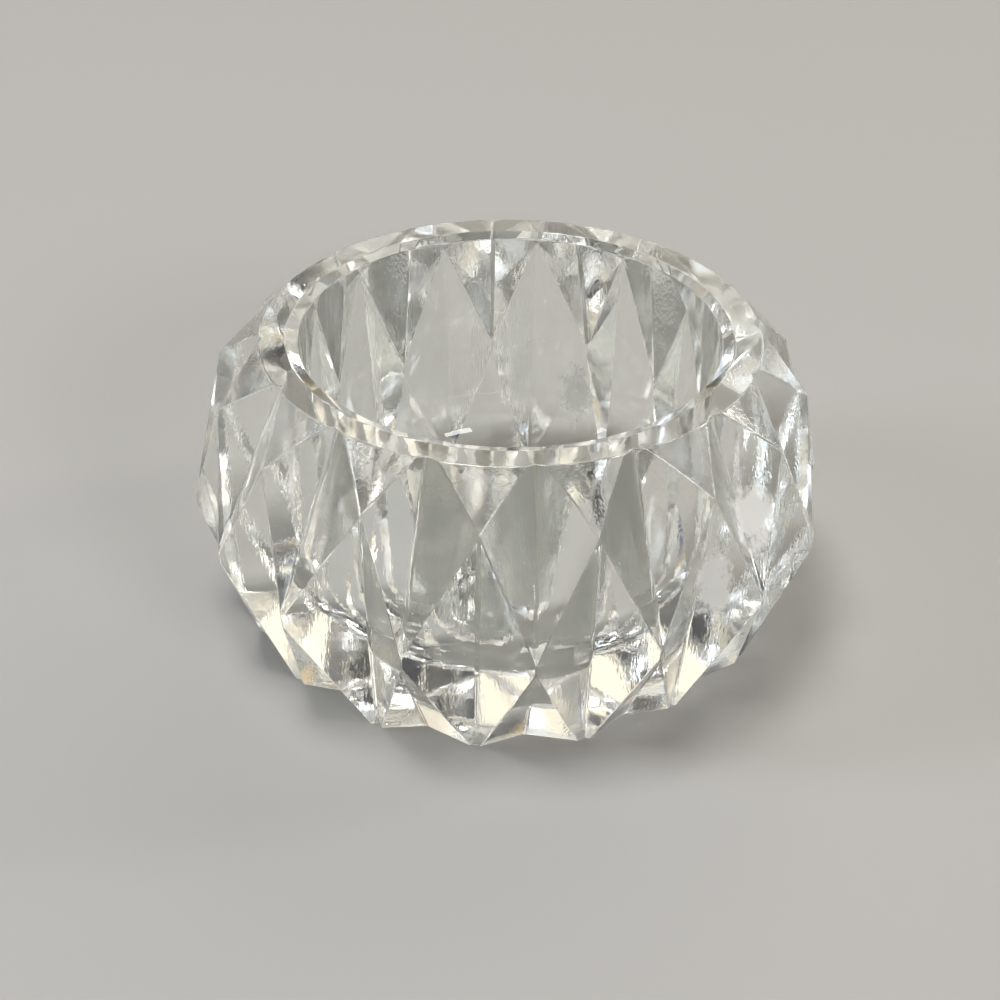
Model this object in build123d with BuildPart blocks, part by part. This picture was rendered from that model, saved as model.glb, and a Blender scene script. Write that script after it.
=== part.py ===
import os
from math import cos, radians, sin

from build123d import *

# Overall size of the salt cellar, in millimetres
height = 30.0
columns = 16
rim_radius = 24.1
girth_radius = 31.0
girth_height = 12.5
shoulder_share = 0.674
shoulder_drop = 4.5
foot_radius = 25.4

# Well for the salt, with a flat rim and a bevelled mouth
rim_width = 2.6
rim_bevel_width = 1.2
rim_bevel_drop = 0.35
well_taper = 1.0
floor_thickness = 3.5
floor_round = 10.0

# How deep the cuts bite into the rim and the foot, and the plain ridge left at the girth
rim_notch = 0.4
foot_notch = 1.5
foot_land = 0.5
girth_ridge = 1.1

# Glass left on the round blank outside the finished corners, all of it cut away
blank_margin = 0.6
foot_margin = 1.6
shoulder_margin = 0.15

# How far a cutting tool runs past the glass at its ends and above its widest part
run_out = 6.0
wall_clearance = 2.0

half_pitch = 180 / columns
blank_radius = girth_radius + blank_margin
shoulder_radius = rim_radius + shoulder_share * (girth_radius - rim_radius)
shoulder_height = height - shoulder_drop
well_radius = rim_radius - rim_width - rim_bevel_width

# Corner rings of the pattern, as radius and height
girth_corner = (girth_radius, girth_height)
shoulder_corner = (shoulder_radius, shoulder_height)
foot_corner = (foot_radius, 0)

# Valley ends of the short cuts, which meet the girth above and below its plain ridge
upper_low = (girth_radius, girth_height + girth_ridge / 2)
upper_high = (rim_radius - rim_notch, height)
lower_high = (girth_radius, girth_height - girth_ridge / 2)
lower_low = (foot_radius - foot_notch, 0)
lower_crest = (foot_radius + foot_land, 0)


def v_tool(low, high, crest):
    """V-shaped cutting tool in the X column, from the ends of its valley and a crest half a column away."""
    low_end = Vector(low[0], 0, low[1])
    high_end = Vector(high[0], 0, high[1])
    crest_out = crest[0] * cos(radians(half_pitch))
    crest_side = crest[0] * sin(radians(half_pitch))
    across = Plane(origin=low_end, x_dir=(0, -1, 0), z_dir=high_end - low_end)
    crest_point = across.to_local_coords(Vector(crest_out, -crest_side, crest[1]))
    wall_height = blank_radius - min(low[0], high[0]) + wall_clearance
    wall_top = (crest_point.X * wall_height / crest_point.Y, wall_height)
    with BuildPart() as tool:
        with BuildSketch(across.offset(-run_out)):
            with BuildLine():
                Polyline((0, 0), wall_top, (-wall_top[0], wall_top[1]), close=True)
            make_face()
        extrude(amount=(high_end - low_end).length + 2 * run_out)
    return tool.part


with BuildPart() as crystal_bowl:
    # Round blank: a barrel with a conical shoulder
    with BuildSketch(Plane.XZ):
        with BuildLine():
            base = Line((0, 0), (foot_radius + foot_margin, 0))
            belly = ThreePointArc(
                base @ 1,
                (blank_radius, girth_height),
                (shoulder_radius + shoulder_margin, shoulder_height + shoulder_margin),
            )
            shoulder = Line(belly @ 1, (rim_radius, height))
            rim = Line(shoulder @ 1, (0, height))
            Line(rim @ 1, base @ 0)
        make_face()
    revolve(axis=Axis.Z)

    # Middle row of cuts: long lozenges from the foot up to the shoulder
    with PolarLocations(0, columns):
        add(v_tool(foot_corner, shoulder_corner, girth_corner), mode=Mode.SUBTRACT)

    # Upper row, half a column round: from the girth up through the rim
    with PolarLocations(0, columns, start_angle=half_pitch):
        add(v_tool(upper_low, upper_high, shoulder_corner), mode=Mode.SUBTRACT)

    # Lower row, below the upper one: from the girth down through the foot
    with PolarLocations(0, columns, start_angle=half_pitch):
        add(v_tool(lower_low, lower_high, lower_crest), mode=Mode.SUBTRACT)

    # Well with its bevelled mouth, slight taper and rounded floor
    with BuildSketch(Plane.XZ):
        with BuildLine():
            mouth = Line((0, height), (well_radius + rim_bevel_width, height))
            bevel = Line(mouth @ 1, (well_radius, height - rim_bevel_drop))
            wall = Line(bevel @ 1, (well_radius - well_taper, floor_thickness))
            floor = Line(wall @ 1, (0, floor_thickness))
            Line(floor @ 1, mouth @ 0)
        make_face()
        fillet(vertices().group_by(Axis.Y)[0].sort_by(Axis.X)[-1], radius=floor_round)
    revolve(axis=Axis.Z, mode=Mode.SUBTRACT)

crystal_bowl.part.label = "crystal_bowl"

os.makedirs("parts", exist_ok=True)
export_step(crystal_bowl.part, "parts/crystal_bowl.step")
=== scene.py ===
import math
import random

import bmesh
import bpy
from mathutils import Matrix, Vector
from mathutils.geometry import intersect_plane_plane


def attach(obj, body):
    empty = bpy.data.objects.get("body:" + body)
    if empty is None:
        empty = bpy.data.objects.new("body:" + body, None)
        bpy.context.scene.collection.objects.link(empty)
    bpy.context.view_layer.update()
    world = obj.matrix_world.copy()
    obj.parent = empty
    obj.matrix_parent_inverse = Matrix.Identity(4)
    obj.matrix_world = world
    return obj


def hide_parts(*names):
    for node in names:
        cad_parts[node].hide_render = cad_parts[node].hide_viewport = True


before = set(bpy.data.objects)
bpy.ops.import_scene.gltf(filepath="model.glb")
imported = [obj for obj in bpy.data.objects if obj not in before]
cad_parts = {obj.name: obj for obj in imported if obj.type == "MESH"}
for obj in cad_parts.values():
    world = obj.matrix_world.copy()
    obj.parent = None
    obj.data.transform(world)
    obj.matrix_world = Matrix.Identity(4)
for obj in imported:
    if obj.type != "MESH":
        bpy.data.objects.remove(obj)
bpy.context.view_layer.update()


# Cut crystal bowl
# One piece of colourless lead crystal, pressed or blown as a thick round blank. Three rows of V cuts are
# ground into it by hand on a stone wheel and then polished, so that no two lozenges are quite alike.
# The well, the flat rim and the foot are ground and polished smooth.

# Sizes in millimetres. No corner goes further out along X or Y than furthest_out, inside the solid's box.
mm = 0.001
columns = 16
pitch = 360 / columns
height = 30.0
rim_radius = 24.1
girth_radius = 31.0
furthest_out = 30.36
girth_height = 12.5
girth_ridge = 1.1
shoulder_radius = 28.75
shoulder_height = 25.5
foot_radius = 25.4
rim_notch_radius = 23.7
foot_notch_radius = 23.9
foot_crest_radius = 25.9
mouth_radius = 21.5
mouth_drop = 0.35
well_radius = 20.3
well_foot_radius = 19.3
floor_thickness = 3.5
floor_round = 10.0

cutter = random.Random(11)


def by_hand(seen, spread):
    """One small error for each column, as measured on the columns that show and made up on the others."""
    made_up = [cutter.uniform(-spread, spread) for _ in range(columns)]
    for column, error in seen.items():
        made_up[column] = error
    return made_up


# How far the pattern's corners are off: turns in degrees, lifts and bites in millimetres. Column 0 faces
# the front, and those to the left of it count down.
shoulder_turn = by_hand(
    {-3: 2.0, -1: 1.9, 0: 1.2, 1: -0.1, 3: -0.3, 6: -0.3, 7: 0.0, 8: -0.2, 9: 0.4, 10: 2.2},
    spread=1.1,
)
shoulder_lift = by_hand(
    {-3: 0.8, -1: 0.1, 0: 0.2, 1: -0.7, 3: 0.1, 6: -1.6, 7: 0.9, 8: 1.1, 9: 0.7, 10: 0.5},
    spread=0.45,
)
girth_turn = by_hand(
    {-3: 1.1, -2: -1.8, -1: -0.2, 0: -0.1, 1: -0.9, 2: -0.4, 6: 0.1, 7: -2.0, 8: -0.6, 9: -0.2},
    spread=1.0,
)
girth_lift = by_hand(
    {-3: 0.9, -2: -0.4, -1: -0.2, 0: 0.2, 1: -0.2, 2: 0.5, 6: -1.0, 7: 0.9, 8: 0.7, 9: -0.9},
    spread=0.45,
)
rim_turn = by_hand({0: 0.5, 1: 0.1, 2: 0.0, 3: -0.5}, spread=0.6)
rim_bite = by_hand({0: 0.0, 1: -0.1, 2: -0.15, 3: 0.0}, spread=0.15)
foot_turn = by_hand({-2: 0.7, -1: 0.8, 0: 0.2, 1: 0.5, 2: 0.6, 3: 1.6}, spread=0.8)
foot_bite = by_hand({-2: 0.0, -1: 0.3, 0: 0.3, 1: 0.0, 2: -0.4, 3: 0.0}, spread=0.3)
notch_turn = by_hand({}, spread=1.2)
notch_bite = by_hand({}, spread=0.45)
crest_bite = by_hand({}, spread=0.25)


def at(radius, degrees, z):
    """A point by its radius and height in millimetres, and by its angle round from the front."""
    turn = math.radians(degrees)
    return Vector((radius * math.sin(turn), -radius * math.cos(turn), z))


def angle_of(point):
    """The angle of a point round from the front, in degrees."""
    return math.degrees(math.atan2(point.x, -point.y))


def wall(a, b, c):
    """The plane of one ground wall through three corners, as a point and a direction."""
    return a, (b - a).cross(c - a).normalized()


def on_ridge(left_wall, right_wall, z):
    """The point at height z on the ridge where two walls meet."""
    start, along = intersect_plane_plane(*left_wall, *right_wall)
    return start + along * ((z - start.z) / along.z)


def trace(cut_wall, z):
    """A point and a direction on the line that a wall draws on the level plane at z."""
    return intersect_plane_plane(*cut_wall, Vector((0, 0, z)), Vector((0, 0, 1)))


def on_rim(cut_wall, notch, towards):
    """The point where a wall leaves the round rim, on the side of the given corner."""
    along = trace(cut_wall, height)[1].normalized()
    if along.dot(towards - notch) < 0:
        along = -along
    flat = Vector((notch.x, notch.y, 0))
    middle = flat.dot(along)
    reach = -middle + math.sqrt(middle ** 2 - flat.length_squared + rim_radius ** 2)
    return notch + along * reach


def edge_on_cone(cut_wall, corner_point, rim_point, steps):
    """Points from a shoulder corner up to the rim, where a wall cuts the cone between the two."""
    start = angle_of(corner_point)
    sweep = (angle_of(rim_point) - start + 180) % 360 - 180
    low_radius = corner_point.xy.length
    slope = (height - corner_point.z) / (rim_radius - low_radius)
    points = [corner_point]
    for n in range(1, steps):
        out = at(1, start + sweep * n / steps, 0)
        ray = out + Vector((0, 0, slope))
        foot_of_ray = Vector((0, 0, corner_point.z - slope * low_radius))
        radius = (cut_wall[0] - foot_of_ray).dot(cut_wall[1]) / ray.dot(cut_wall[1])
        points.append(foot_of_ray + ray * radius)
    return points + [rim_point]


def crossing(cut_wall, a, b):
    """The point on the foot plane where a wall's trace meets the line from a to b."""
    start, along = trace(cut_wall, 0)
    run = b - a
    share = (along.x * (a.y - start.y) - along.y * (a.x - start.x)) / (along.y * run.x - along.x * run.y)
    return a + run * share


# Corners of the pattern, one of each kind for every column
shoulder, foot, girth, rim_notch, foot_notch, foot_crest = [], [], [], [], [], []
for k in range(columns):
    middle, side = k * pitch, (k + 0.5) * pitch
    shoulder.append(at(shoulder_radius, middle + shoulder_turn[k], shoulder_height + shoulder_lift[k]))
    foot.append(at(foot_radius + foot_bite[k], middle + foot_turn[k], 0))
    tip = at(girth_radius, side + girth_turn[k], girth_height + girth_lift[k])
    draw_in = min(1, furthest_out / max(abs(tip.x), abs(tip.y)))
    girth.append(Vector((tip.x * draw_in, tip.y * draw_in, tip.z)))
    rim_notch.append(at(rim_notch_radius + rim_bite[k], side + rim_turn[k], height))
    foot_notch.append(at(foot_notch_radius + notch_bite[k], side + notch_turn[k], 0))
    foot_crest.append(at(foot_crest_radius + foot_bite[k] + crest_bite[k], middle + foot_turn[k], 0))

bm = bmesh.new()
weight = bm.edges.layers.float.new("bevel_weight_edge")
corners = {}


def corner(point):
    """The mesh corner at a point, made once."""
    key = tuple(round(v, ndigits=5) for v in point)
    if key not in corners:
        corners[key] = bm.verts.new(point * mm)
    return corners[key]


def facet(*points):
    """One face of the mesh through the given points."""
    return bm.faces.new([corner(p) for p in points])


def soften(a, b, share):
    """Marks the edge between two points to be rounded by a share of the widest rounding."""
    edge = bm.edges.get((corner(a), corner(b)))
    edge[weight] = share


# The cut walls, the shoulder triangles and the rim, column by column
valley, ridge, shoulder_edge, rim_edge, foot_edge = 1.0, 0.4, 0.5, 0.4, 0.5
rim_arc, cone_rows, mouth_arc = 6, 6, 12
outline = []
for k in range(columns):
    last, after = k - 1, (k + 1) % columns
    left = wall(foot[k], shoulder[k], girth[last])
    right = wall(foot[k], shoulder[k], girth[k])
    right_of_last = wall(foot[last], shoulder[last], girth[last])
    left_of_next = wall(foot[after], shoulder[after], girth[k])
    tips = []
    for pair, tip in (((right_of_last, left), girth[last]), ((right, left_of_next), girth[k])):
        tips.append(on_ridge(*pair, tip.z + girth_ridge / 2))
        tips.append(on_ridge(*pair, tip.z - girth_ridge / 2))
    left_up, left_low, right_up, right_low = tips
    left_foot = crossing(left, foot_notch[last], foot_crest[k])
    right_foot = crossing(right, foot_notch[k], foot_crest[k])
    upper_left = wall(left_up, rim_notch[last], shoulder[k])
    upper_right = wall(right_up, rim_notch[k], shoulder[k])
    rim_left = on_rim(upper_left, rim_notch[last], shoulder[k])
    rim_right = on_rim(upper_right, rim_notch[k], shoulder[k])
    left_edge = edge_on_cone(upper_left, shoulder[k], rim_left, cone_rows)
    right_edge = edge_on_cone(upper_right, shoulder[k], rim_right, cone_rows)

    facet(foot[k], right_foot, right_low, right_up, shoulder[k])
    facet(foot[k], shoulder[k], left_up, left_low, left_foot)
    facet(right_up, rim_notch[k], *reversed(right_edge))
    facet(left_up, *left_edge, rim_notch[last])
    facet(right_low, right_foot, foot_notch[k])
    facet(left_low, foot_notch[last], left_foot)

    rows = [[shoulder[k]] * (rim_arc + 1)]
    for a, b in zip(left_edge[1:], right_edge[1:]):
        start = angle_of(a)
        sweep = (angle_of(b) - start + 180) % 360 - 180
        row = [a]
        for n in range(1, rim_arc):
            share = n / rim_arc
            radius = a.xy.length * (1 - share) + b.xy.length * share
            row.append(at(radius, start + sweep * share, a.z * (1 - share) + b.z * share))
        rows.append(row + [b])
    for below, above in zip(rows, rows[1:]):
        for n in range(rim_arc):
            if below is rows[0]:
                facet(shoulder[k], above[n + 1], above[n])
            else:
                facet(below[n], below[n + 1], above[n + 1], above[n])
        soften(below[0], above[0], shoulder_edge)
        soften(below[-1], above[-1], shoulder_edge)
    arc = rows[-1]
    for a, b in zip(arc, arc[1:]):
        soften(a, b, rim_edge)
    for a, b, share in (
        (foot[k], shoulder[k], valley),
        (right_up, rim_notch[k], valley),
        (right_low, foot_notch[k], valley),
        (right_up, right_low, ridge),
        (right_up, shoulder[k], ridge),
        (left_up, shoulder[k], ridge),
        (right_low, right_foot, ridge),
        (left_low, left_foot, ridge),
        (rim_notch[k], rim_right, rim_edge),
        (rim_notch[last], rim_left, rim_edge),
        (foot[k], right_foot, foot_edge),
        (foot[k], left_foot, foot_edge),
        (foot_notch[k], right_foot, foot_edge),
        (foot_notch[last], left_foot, foot_edge),
    ):
        soften(a, b, share)
    mouth = [at(mouth_radius, (k - 0.5 + n / mouth_arc) * pitch, height) for n in range(mouth_arc, -1, -1)]
    facet(rim_notch[last], *arc, rim_notch[k], *mouth)
    outline += [left_foot, foot[k], right_foot, foot_notch[k]]
facet(*reversed(outline))

# The well, from its bevelled mouth down the tapered wall and the rounded corner to the floor
corner_steps = 24
well_steps = mouth_arc * columns
floor_rings = (0.75, 0.5, 0.25)
profile = [(mouth_radius, height), (well_radius, height - mouth_drop)]
lean = math.atan2(well_radius - well_foot_radius, height - mouth_drop - floor_thickness)
round_middle = floor_thickness + floor_round
set_back = floor_round * math.tan((math.pi / 2 - lean) / 2)
centre_radius = well_foot_radius - set_back
for n in range(corner_steps + 1):
    turn = lean + (math.pi / 2 - lean) * n / corner_steps
    corner_out = centre_radius + floor_round * math.cos(turn)
    profile.append((corner_out, round_middle - floor_round * math.sin(turn)))
profile += [(centre_radius * share, floor_thickness) for share in floor_rings]
rings = []
for ring_radius, ring_height in profile:
    angles = [n * 360 / well_steps + pitch / 2 for n in range(well_steps)]
    rings.append([at(ring_radius, degrees, ring_height) for degrees in angles])
for upper, lower in zip(rings, rings[1:]):
    for n in range(well_steps):
        ahead = (n + 1) % well_steps
        facet(upper[n], upper[ahead], lower[ahead], lower[n])
        if upper is rings[0]:
            soften(upper[n], upper[ahead], rim_edge)
            soften(lower[n], lower[ahead], rim_edge)
facet(*rings[-1])

bmesh.ops.recalc_face_normals(bm, faces=bm.faces)
for face in bm.faces:
    face.smooth = True
sharp_mesh = bpy.data.meshes.new("sharp_cuts")
bm.to_mesh(sharp_mesh)
bm.free()

widest_rounding = 0.3 * mm
bowl = bpy.data.objects.new("cut_crystal_bowl", sharp_mesh)
bpy.context.scene.collection.objects.link(bowl)
rounding = bowl.modifiers.new("polished_edges", "BEVEL")
rounding.limit_method = "WEIGHT"
rounding.width = widest_rounding
rounding.segments = 3
rounding.harden_normals = True
rounding.use_clamp_overlap = False
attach(bowl, "root")
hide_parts("crystal_bowl")


class Shade:
    """A node's output. Sums and products of them add Math nodes, and make adds any other node."""

    def __init__(self, tree, out=None):
        self.tree, self.out = tree, out

    def make(self, kind, settings=None, inputs=None, out=0):
        """A new node of one kind, with its settings and the values or links of its sockets."""
        node = self.tree.nodes.new("ShaderNode" + kind)
        for name, value in (settings or {}).items():
            if name == "stops":
                ramp = node.color_ramp
                ramp.elements[0].position, ramp.elements[0].color = value[0]
                ramp.elements[1].position, ramp.elements[1].color = value[-1]
                for position, colour in value[1:-1]:
                    ramp.elements.new(position).color = colour
            else:
                setattr(node, name, value)
        for name, value in (inputs or {}).items():
            if isinstance(value, Shade):
                self.tree.links.new(value.out, node.inputs[name])
            else:
                node.inputs[name].default_value = value
        return Shade(self.tree, node.outputs[out] if node.outputs else None)

    def maths(self, operation, first, second):
        """A Math node on two values."""
        return self.make("Math", {"operation": operation}, {0: first, 1: second})

    def __add__(self, other):
        return self.maths("ADD", self, other)

    def __radd__(self, other):
        return self.maths("ADD", other, self)

    def __sub__(self, other):
        return self.maths("SUBTRACT", self, other)

    def __rsub__(self, other):
        return self.maths("SUBTRACT", other, self)

    def __mul__(self, other):
        return self.maths("MULTIPLY", self, other)

    def __rmul__(self, other):
        return self.maths("MULTIPLY", other, self)


crystal = bpy.data.materials.new("polished_lead_crystal")
crystal.use_nodes = True
crystal.node_tree.nodes.clear()
glass = Shade(crystal.node_tree)


def fade(value, low, high):
    """0 below low, 1 above high and smooth between, or the other way round where high is the lower."""
    limits = {"Value": value, "From Min": low, "From Max": high}
    return glass.make("MapRange", {"interpolation_type": "SMOOTHSTEP"}, limits)


def grain(vector, per_mm, detail=1.0):
    """Noise about zero, of so many blobs to a millimetre."""
    return glass.make("TexNoise", {}, {"Vector": vector, "Scale": per_mm, "Detail": detail}) - 0.5


def stretch(vector, amounts):
    """A place on the glass with each of its three directions multiplied."""
    return glass.make("VectorMath", {"operation": "MULTIPLY"}, {0: vector, 1: amounts})


def length_of(vector):
    """How long a vector is."""
    return glass.make("VectorMath", {"operation": "LENGTH"}, {0: vector}, out="Value")


# Where a spot lies, in millimetres, and which way the glass faces there
place = glass.make("TexCoord", out="Object")
spot = glass.make("VectorMath", {"operation": "SCALE"}, {0: place, "Scale": 1 / mm})
rise = glass.make("SeparateXYZ", {}, {"Vector": spot}, out="Z")
from_axis = length_of(stretch(spot, (1, 1, 0)))
facing = glass.make("NewGeometry", out="Normal")
tilt_up = glass.make("SeparateXYZ", {}, {"Vector": facing}, out="Z")
on_cuts = fade(from_axis, low=22.2, high=22.8)
leaning = fade(tilt_up, low=0.58, high=0.64) * fade(tilt_up, low=0.93, high=0.87)
on_shoulder = leaning * fade(rise, low=24.0, high=25.0) * on_cuts
on_foot = fade(rise, low=0.25, high=0.1)

# Stone wheel marks along the cuts, a pebbled skin on the uncut shoulder and a slow waver left by polishing,
# as heights in millimetres
long_mark, short_mark, pebble, wave = 0.007, 0.009, 0.024, 0.05
along_cut = stretch(spot, (1, 1, 0.035))
partly_along = stretch(spot, (1, 1, 0.3))
all_marks = grain(along_cut, per_mm=5.0) * long_mark + grain(partly_along, per_mm=4.0) * short_mark
wheel_marks = all_marks * on_cuts * (1 - on_shoulder)
pebbles = grain(spot, per_mm=2.8, detail=2.0) * pebble * on_shoulder
waver = grain(spot, per_mm=0.2) * wave
heights = {"Strength": 1.0, "Distance": mm, "Height": waver + wheel_marks + pebbles}
relief = glass.make("Bump", {}, heights, out="Normal")

# White salt dried in two of the cuts and on the wall of the well, and a little dust
blotch, streak = 1.6, 0.7
crust = 0
for centre, wide, tall, thick in (
    ((24.2, -15.0, 20.9), 2.2, 3.6, 1.0),
    ((21.1, -18.6, 15.4), 1.7, 4.0, 1.0),
    ((5.1, 18.9, 12.7), 1.6, 2.7, 0.6),
):
    offset = glass.make("VectorMath", {"operation": "SUBTRACT"}, {0: spot, 1: centre})
    gap = length_of(stretch(offset, (1 / wide, 1 / wide, 1 / tall)))
    blotches = blotch * grain(spot, per_mm=0.7, detail=5.0)
    streaks = streak * grain(partly_along, per_mm=3.0, detail=2.0)
    crust = crust + thick * fade(gap + blotches + streaks, low=1.25, high=0.6)
specks = {"Vector": spot, "Scale": 0.55}
from_speck = glass.make("TexVoronoi", {}, specks)
speck_colour = glass.make("TexVoronoi", {}, specks, out="Color")
chance = glass.make("SeparateColor", {}, {"Color": speck_colour})
dust = fade(from_speck, low=0.055, high=0.03) * fade(chance, low=0.55, high=0.6)

polished, smudged, pebbled, worn = 0.006, 0.05, 0.04, 0.05
smudges = fade(grain(spot, per_mm=0.16, detail=3.0), low=0.02, high=0.25)
body = glass.make(
    "BsdfPrincipled",
    {},
    {
        "Base Color": (0.958, 0.972, 0.942, 1),
        "Roughness": polished + smudged * smudges + pebbled * on_shoulder + worn * on_foot,
        "IOR": 1.545,
        "Transmission Weight": 1.0,
        "Normal": relief,
    },
)
salt_cover, dust_cover = 0.95, 0.5
salt = glass.make("BsdfPrincipled", {}, {"Base Color": (0.93, 0.93, 0.91, 1), "Roughness": 0.9})
covered = glass.make("MixShader", {}, {"Fac": salt_cover * crust + dust_cover * dust, 1: body, 2: salt})
glass.make("OutputMaterial", {}, {"Surface": covered})
sharp_mesh.materials.append(crystal)


# Floor
# A plain pale sweep of matt board, wide enough to fill the picture, a film of air below the bowl. Far from
# the bowl it gives off its own colour, so that it stays pale behind the bowl in low views.

half_width = 3.0
film_of_air = 0.05 * mm
near_edge, far_edge = 0.25, 1.0
board_corners = [(-half_width, -half_width), (half_width, -half_width)]
board_corners += [(half_width, half_width), (-half_width, half_width)]
floor_mesh = bpy.data.meshes.new("pale_board")
floor_mesh.from_pydata([(x, y, -film_of_air) for x, y in board_corners], [], [(0, 1, 2, 3)])
floor = bpy.data.objects.new("pale_floor", floor_mesh)
bpy.context.scene.collection.objects.link(floor)
board = bpy.data.materials.new("matt_board")
board.use_nodes = True
board.node_tree.nodes.clear()
card = Shade(board.node_tree)
board_spot = card.make("TexCoord", out="Object")
distance = card.make("VectorMath", {"operation": "LENGTH"}, {0: board_spot}, out="Value")
far_off = card.make(
    "MapRange",
    {"interpolation_type": "SMOOTHSTEP"},
    {"Value": distance, "From Min": near_edge, "From Max": far_edge},
)
near_board = card.make("BsdfPrincipled", {}, {"Base Color": (0.55, 0.54, 0.525, 1), "Roughness": 0.8})
far_board = card.make("Emission", {}, {"Color": (0.5, 0.49, 0.475, 1), "Strength": 1.0})
whole_board = card.make("MixShader", {}, {"Fac": far_off, 1: near_board, 2: far_board})
card.make("OutputMaterial", {}, {"Surface": whole_board})
floor_mesh.materials.append(board)


# Light
# A room with pale walls and a dark ceiling, and a warm and a cool band where the two meet, which give the
# cut edges their coloured glints. Soft boxes stand behind, above, in front and on both sides of the bowl.

room = bpy.data.worlds.new("dark_ceiling_room")
bpy.context.scene.world = room
room.use_nodes = True
room.node_tree.nodes.clear()
air = Shade(room.node_tree)
direction = air.make("TexCoord", out="Generated")
upward = air.make("SeparateXYZ", {}, {"Vector": direction}, out="Z")
walls = air.make(
    "ValToRGB",
    {
        "stops": [
            (0.0, (1.0, 0.99, 0.97, 1)),
            (0.18, (0.95, 0.92, 0.85, 1)),
            (0.25, (0.75, 0.52, 0.18, 1)),
            (0.31, (0.12, 0.2, 0.4, 1)),
            (0.38, (0.06, 0.062, 0.066, 1)),
            (1.0, (0.06, 0.06, 0.065, 1)),
        ]
    },
    {"Fac": upward},
)
room_light = air.make("Background", {}, {"Color": walls, "Strength": 1.0})
air.make("OutputWorld", {}, {"Surface": room_light})

warm, neutral, cool, soft_warm = (1.0, 0.9, 0.72), (1.0, 0.99, 0.97), (0.8, 0.9, 1.0), (1.0, 0.95, 0.86)


def soft_box(name, stand, size, power, colour):
    """A lamp with a square front, at a place in metres, turned towards the bowl."""
    lamp = bpy.data.lights.new(name, "AREA")
    lamp.shape = "RECTANGLE"
    lamp.size, lamp.size_y = size
    lamp.energy = power
    lamp.color = colour
    box = bpy.data.objects.new(name, lamp)
    bpy.context.scene.collection.objects.link(box)
    box.location = stand
    box.rotation_mode = "QUATERNION"
    box.rotation_quaternion = (-Vector(stand)).to_track_quat("-Z", "Y")


soft_box("back_box", stand=(0.25, 0.9, 0.75), size=(1.1, 0.7), power=3.0, colour=warm)
soft_box("top_box", stand=(-0.15, -0.05, 0.9), size=(0.36, 0.28), power=3.7, colour=neutral)
soft_box("left_box", stand=(-0.7, -0.15, 0.4), size=(0.2, 0.45), power=1.8, colour=cool)
soft_box("right_box", stand=(0.72, 0.3, 0.42), size=(0.16, 0.2), power=1.1, colour=soft_warm)
soft_box("front_box", stand=(0.5, -0.6, 0.45), size=(0.25, 0.2), power=1.7, colour=neutral)


# Camera
# Stands where the photograph was taken: close to the bowl, about 33 degrees above level and very slightly
# tilted. Light may bounce often enough to find its way through all the cuts.

eye = Vector((20.60, -191.13, 137.02)) * mm
aim = Vector((-0.795, -0.089, 10.7)) * mm
tilt = math.radians(0.64)
enough_bounces = 32
lens = bpy.data.cameras.new("lens")
lens.sensor_fit = "HORIZONTAL"
lens.sensor_width = 36
lens.lens = 82.47
lens.clip_start = 0.01
camera = bpy.data.objects.new("camera", lens)
bpy.context.scene.collection.objects.link(camera)
bpy.context.scene.camera = camera
away = (aim - eye).normalized()
across = away.cross(Vector((0, 0, 1))).normalized()
up = across.cross(away)
picture_x = across * math.cos(tilt) + up * math.sin(tilt)
picture_y = up * math.cos(tilt) - across * math.sin(tilt)
picture_turn = Matrix((picture_x, picture_y, -away)).transposed()
camera.matrix_world = Matrix.Translation(eye) @ picture_turn.to_4x4()

bpy.context.scene.view_settings.view_transform = "Standard"
light_paths = bpy.context.scene.cycles
light_paths.max_bounces = enough_bounces
light_paths.transmission_bounces = enough_bounces
light_paths.glossy_bounces = enough_bounces
